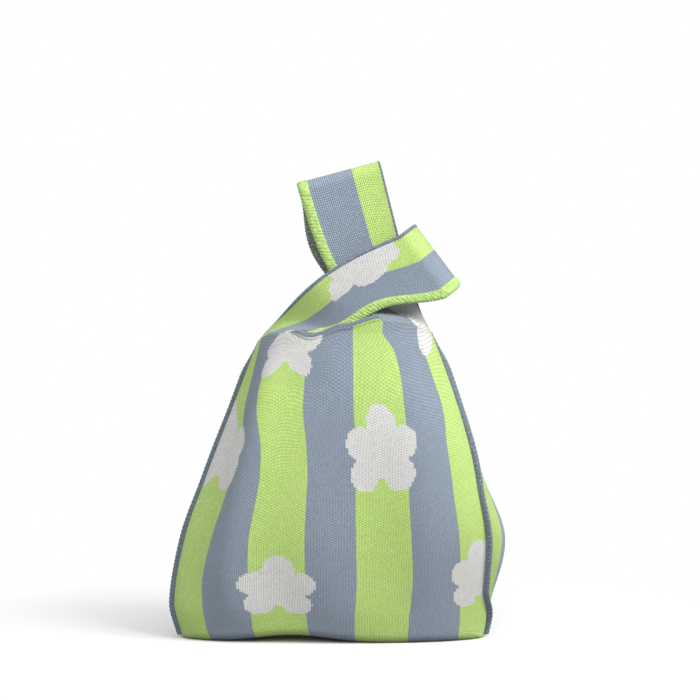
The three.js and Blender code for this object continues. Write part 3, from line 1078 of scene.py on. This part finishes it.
    def rows_along(self, q: Points, t: Points) -> Points:
        """Measures along the knit from the foot of the pouch, the same way up both runs to the fold.

        Args:
            q: shares of the strap's way.
            t: places across it.

        Returns:
            Millimetres of knit.
        """
        outer_end, inner_end, _, _ = self.ends()
        first, last = self.rim_ends(Face.FRONT) * [1, 0, 1]
        run = mix(np.linalg.norm(outer_end - first), np.linalg.norm(inner_end - last), t)
        turn = self.fold_share()
        way = 0.5 - np.abs(q - 0.5)
        arc = 2 * (self.reach - self.fold_length) * turn / (1 - turn)
        length = run * np.clip(way / ((1 - turn) / 2), 0, 1)
        length = length + arc * np.clip(way - (1 - turn) / 2, 0, None) / turn
        share = self.panel_share(t)
        gather = self.gather * smooth(0, self.gather_length, length)
        return self.pouch.rows_up(share, self.pouch.rim(share)) + length + gather

    def band(self, start: float, stop: float, across: Points, travel: Points) -> Patch:
        """Finds points of the flat knit, from inside its binding to inside its chunky edge.

        Args:
            start: where on the strap's way it starts.
            stop: where it ends.
            across: shares of its width.
            travel: shares of its length.

        Returns:
            Points, and their places on the striped knit.
        """
        q = mix(start, stop, travel)
        span = np.linalg.norm(self.at(q, 1.0) - self.at(q, 0.0), axis=1)
        way = self.root_way(q)
        under = 0.5 * self.chunky.width / span * smooth(0, self.edge_fade, way)
        t = mix(0.5 * self.binding.width / span, 1 - under, across)
        spread = smooth(0, self.spread_fade, way)
        share = self.panel_share(mix(1, self.stripe_span, spread) * t ** mix(1, self.stripe_skew, spread))
        face = Face.BACK if start > 0.5 else Face.FRONT
        points = self.at(q, t)
        points[:, 2] -= self.tuck * (1 - smooth(0, self.tuck_fade, way))
        return points, self.pouch.across(face, share, self.pouch.rim(share)), self.rows_along(q, t)

    def edge(self, start: float, stop: float, mouth: bool, around: Points, travel: Points) -> Patch:
        """Finds points of the chunky edge on the mouth side, or of the thin binding on the outer side.

        Args:
            start: where on the strap's way it starts.
            stop: where it ends.
            mouth: whether it is the chunky edge.
            around: shares of the way round it.
            travel: shares of its length.

        Returns:
            Points, and their places on the yarn.
        """
        q = mix(start, stop, travel)
        trim = self.chunky if mouth else self.binding
        outer, inner = self.at(q, 0.0), self.at(q, 1.0)
        step = trim.width / np.linalg.norm(inner - outer, axis=1)
        rim, t, middle = (inner, 1 - step, 1 - step / 2) if mouth else (outer, step, step / 2)
        inside = self.at(q, t)
        ahead = self.at(np.minimum(q + NEAR, 1), middle) - self.at(np.maximum(q - NEAR, 0), middle)
        across = unit(inside - rim)
        out = unit(np.cross(ahead, across)) * (1 if mouth else -1) * -self.side.value
        along = self.rows_along(q, middle)
        angle = 2 * np.pi * around
        c, s = np.cos(angle), np.sin(angle)
        groove = trim.groove * np.exp(-(((np.abs(s) - 1) / self.groove_width) ** 2))
        uneven = self.wander[0] * np.sin(along / self.wander_length[0]) + self.wander_round[1] * c
        uneven += self.wander[1] * np.sin(along / self.wander_length[1] + self.wander_round[0] * s)
        swell = 1 + self.knot * np.sin(2 * np.pi * along / trim.pitch + uneven) - groove
        swell = swell * mix(trim.root_size, 1, smooth(0, 1, self.root_way(q)))
        line = (rim + inside) / 2
        points = oval(line, across, out, around, trim.width * swell, trim.thickness * swell)
        return points, self.girth * trim.width * around, along

    def bend_zone(self, q: float) -> tuple[Points, float]:
        """Finds the way up the strap's knit at one place on its way.

        Args:
            q: the place, at the end of a root.

        Returns:
            The way up the strap, square to its width in the front view, and how far up it the place is.
        """
        outer, inner = self.at(np.array([q, q]), np.array([0.0, 1.0]))
        up = unit(np.cross(inner - outer, [0.0, 1.0, 0.0]) * [1, 0, 1])
        up *= np.sign(up[2])
        return up, float(min(outer @ up, inner @ up))

    def build(self, clothes: Wardrobe) -> None:
        """Builds and dresses both roots and the loop.

        Args:
            clothes: the finishes.
        """
        root = self.root_length()
        for face in (*Face, None):
            pieces = self.stretch(face, clothes)
            up, level = self.bend_zone(1 - root if face is Face.BACK else root)
            if face is None:
                level = max(level, self.bend_zone(1 - root)[1])
            else:
                low = float((self.root(face, np.linspace(0, 1, self.rim_steps)) @ up).max())
            for piece in pieces:
                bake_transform(piece)

    def stretch(self, face: Face | None, clothes: Wardrobe) -> list[bpy.types.Object]:
        """Builds and dresses one stretch of the strap: its knit, its chunky edge and its binding.

        Args:
            face: the panel that a root grows from, or None for the loop, whose edges are solids too.
            clothes: the finishes.

        Returns:
            The three pieces.
        """
        loop = face is None
        root = self.root_length()
        roots = {f: f"{self.name}_root_{f.name.lower()}" for f in Face}
        name, start, stop, rows = f"{self.name}_loop", root, 1 - root, self.loop_rows
        if not loop:
            name, rows = roots[face], self.root_rows
            start, stop = (0.0, root) if face is Face.FRONT else (1 - root, 1.0)
        knit = make_piece(f"{name}_knit", partial(self.band, start, stop), self.columns, rows)
        dress(knit, "slate_knit", (f"{name}_band" if loop else name,), clothes.knit, clothes.reverse)
        thicken(knit, self.pouch.knit, 0.0, self.side is Side.RIGHT)
        edges = []
        for end, trim, mouth in (("chunky_edge", self.chunky, True), ("bound_edge", self.binding, False)):
            surface = partial(self.edge, start, stop, mouth)
            grid = trim.columns, rows * self.edge_finer
            edges.append(make_piece(f"{name}_{end}", surface, *grid, tube=True, two_halves=mouth))
        chunky, binding = edges
        # The chunky edge's half that turns into the loop takes the darker reverse knit instead of lime:
        # painted shade for the inside of the loop.
        dress(chunky, "lime_edge", (f"{name}_mouth_edge",) if loop else (), clothes.edge, clothes.reverse)
        dress(binding, "slate_seam", (f"{name}_outer_binding",) if loop else (), clothes.seam)
        return [knit, *edges]


@dataclass(frozen=True)
class Lamp:
    """A square softbox: its place and width in metres, and its power in watts."""

    name: str
    place: tuple[float, float, float]
    size: float
    power: float


@dataclass(frozen=True)
class Studio:
    """A white table and backdrop, soft light from the upper right, and the camera of the photo."""

    distance: float = 1.2
    rise: float = 2.0
    lens: float = 92.6
    sensor: float = 36.0
    aim: tuple[float, float, float] = (0.009, 0.0, 0.192)
    ambient: float = 0.52
    lamps: tuple[Lamp, ...] = (
        Lamp("key_softbox", (1.45, -0.95, 1.35), 1.0, 43.0),
        Lamp("fill_softbox", (-0.6, -1.5, 1.2), 1.2, 15.5),
    )
    white: str = "ffffff"
    table_size: float = 6.0
    # The paper throws less light back at the bag than the eye sees, so that the foot stays in shade.
    paper_lit: str = "8c8c8c"
    paper_seen: str = "fbfbfb"
    # Away from the bag the paper glows to white: how fast by the metre, and from what start.
    glow: tuple[float, float] = (5.0, -0.5)

    def build(self) -> None:
        """Sets the table, the lights, the world and the camera."""
        self.floor()
        for lamp in self.lamps:
            light = bpy.data.lights.new(lamp.name, "AREA")
            light.size = lamp.size
            light.energy = lamp.power
            self.place(lamp.name, light, Vector(lamp.place))
        self.world()
        self.camera()

    def place(self, name: str, data: bpy.types.ID, place: Vector) -> bpy.types.Object:
        """Adds a light or a camera at a place in metres, facing the bag."""
        obj = bpy.data.objects.new(name, data)
        obj.location = place
        obj.rotation_euler = (Vector(self.aim) - obj.location).to_track_quat("-Z", "Y").to_euler()
        bpy.context.scene.collection.objects.link(obj)
        return obj

    def floor(self) -> None:
        """Makes a pale table that stays white in the picture and keeps the bag's shadow."""
        bm = bmesh.new()
        bmesh.ops.create_grid(bm, x_segments=1, y_segments=1, size=self.table_size)
        table = finish_mesh(bm, "table", Vector(UP))
        paint, tree = new_material("matt white paper")
        add = partial(add_node, tree)
        camera = add(Kind.LIGHT_PATH).outputs["Is Camera Ray"]
        paper = add(Kind.MIX, camera, linear(self.paper_lit), linear(self.paper_seen), data_type="RGBA")
        shader = add(Kind.SHADER, paper)
        shader.inputs["Roughness"].default_value = 1.0
        shader.inputs["Specular IOR Level"].default_value = 0.0
        away = add(Kind.VECTOR, add(Kind.COORDS).outputs["Object"], operation="LENGTH")
        far = add(Kind.MATH, away.outputs["Value"], *self.glow, operation="MULTIPLY_ADD", use_clamp=True)
        seen = add(Kind.MATH, camera, far, operation="MULTIPLY")
        glow = add(Kind.EMISSION, linear(self.white), 1.0)
        add(Kind.OUTPUT, add(Kind.MIX_SHADER, seen, shader, glow))
        table.data.materials.append(paint)

    def world(self) -> None:
        """Makes a backdrop that is white to the camera and dimmer as a light."""
        world = bpy.data.worlds.new("white backdrop")
        world.use_nodes = True
        tree = world.node_tree
        tree.nodes.clear()
        camera = add_node(tree, Kind.LIGHT_PATH).outputs["Is Camera Ray"]
        level = add_node(tree, Kind.MIX, camera, self.ambient, 1.0, data_type="FLOAT")
        add_node(tree, Kind.WORLD_OUTPUT, add_node(tree, Kind.BACKGROUND, linear(self.white), level))
        bpy.context.scene.world = world
        bpy.context.scene.view_settings.view_transform = "Standard"

    def camera(self) -> None:
        """Sets the camera at the photo's angle and distance."""
        lens = bpy.data.cameras.new("photo_camera")
        lens.lens = self.lens
        lens.sensor_width = self.sensor
        rise = math.radians(self.rise)
        back = self.distance * Vector((0, -math.cos(rise), math.sin(rise)))
        bpy.context.scene.camera = self.place("photo_camera", lens, Vector(self.aim) + back)


def main() -> None:
    """Builds the bag and its studio."""
    logging.basicConfig(level=logging.INFO, format="%(name)s: %(message)s")
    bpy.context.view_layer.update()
    clothes = Wardrobe.make()
    pouch = Pouch()
    pouch.build(clothes)
    keeper = Strap(
        name="keeper",
        side=Side.LEFT,
        pouch=pouch,
        reach=119.8,
        lean=25.3,
        width=51,
        fold_tilt=37,
        half_depth=25.5,
        fold_length=13,
        outer_bow=9.5,
        inner_bow=3,
        inner_sway=7,
        sway_skew=0.87,
        bow_skew=1,
        inner_settle=0.24,
        back_drop=1,
        outer_side=1,
        gather=11,
        stripe_skew=0.9,
        stripe_span=1,
        flat_root=(44, 30),
        binding=Trim(3, 3.6, 2.2, 0.7, 0, 12),
    )
    wrist = Strap(
        name="wrist",
        side=Side.RIGHT,
        pouch=pouch,
        reach=110,
        lean=114,
        width=57,
        fold_tilt=105,
        half_depth=7.5,
        fold_length=6,
        outer_bow=-2,
        inner_bow=12,
        inner_sway=0,
        sway_skew=1,
        bow_skew=0.7,
        inner_settle=0.106,
        back_drop=5,
        outer_side=-1,
        gather=0,
        stripe_skew=0.6,
        stripe_span=0.9,
        flat_root=(60, 32),
        binding=Trim(1.8, 3.6, 2.2, 0.7, 0, 12),
    )
    keeper.build(clothes)
    wrist.build(clothes)
    Studio().build()


if __name__ == "__main__":
    main()
